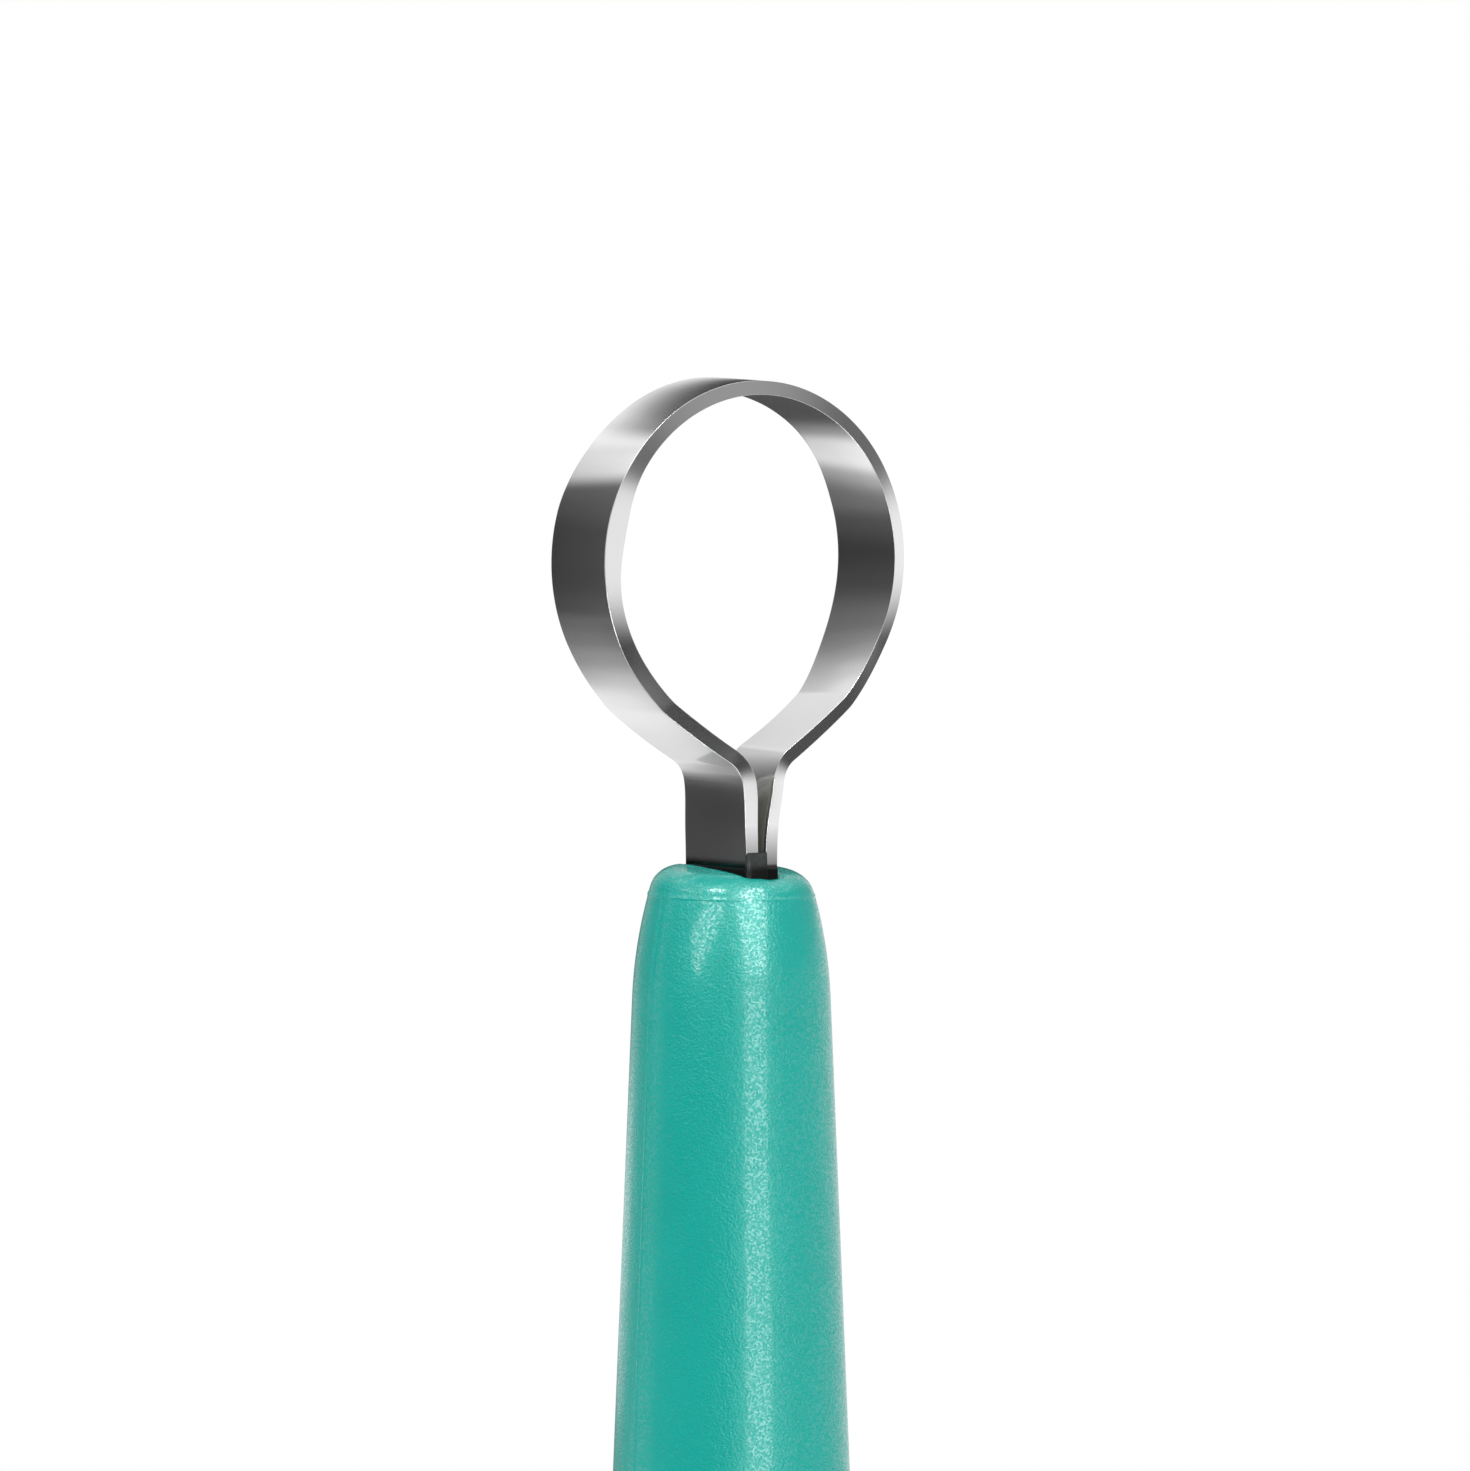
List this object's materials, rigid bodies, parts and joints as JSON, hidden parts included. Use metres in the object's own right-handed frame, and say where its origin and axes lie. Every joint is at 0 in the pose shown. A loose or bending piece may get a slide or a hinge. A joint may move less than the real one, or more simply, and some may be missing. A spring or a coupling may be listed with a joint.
{
  "type": "ring curette",
  "caption": "Single-use ring curette: an open loop of thin steel strip with a honed rim, bonded into the tip of a slim moulded handle, for scraping skin lesions.",
  "frame": {"origin": "centre of the flat at the end of the handle's tail", "axes": "+Z along the handle from the tail to the ring; the ring's own axis is Y and its honed rim faces -Y; +X lies in the ring's plane"},
  "size_m": [0.008, 0.008, 0.14],
  "materials": {
    "handle_plastic": "moulded teal plastic with a fine even texture and a low sheen",
    "strip_steel": "bright rolled stainless strip, ground along its near rim",
    "bonding_compound": "set dark resin, slightly glossy"
  },
  "bodies": {
    "root": {"handle": "handle_plastic", "ring_blade": "strip_steel", "leg_filler": "bonding_compound"}
  },
  "joints": []
}
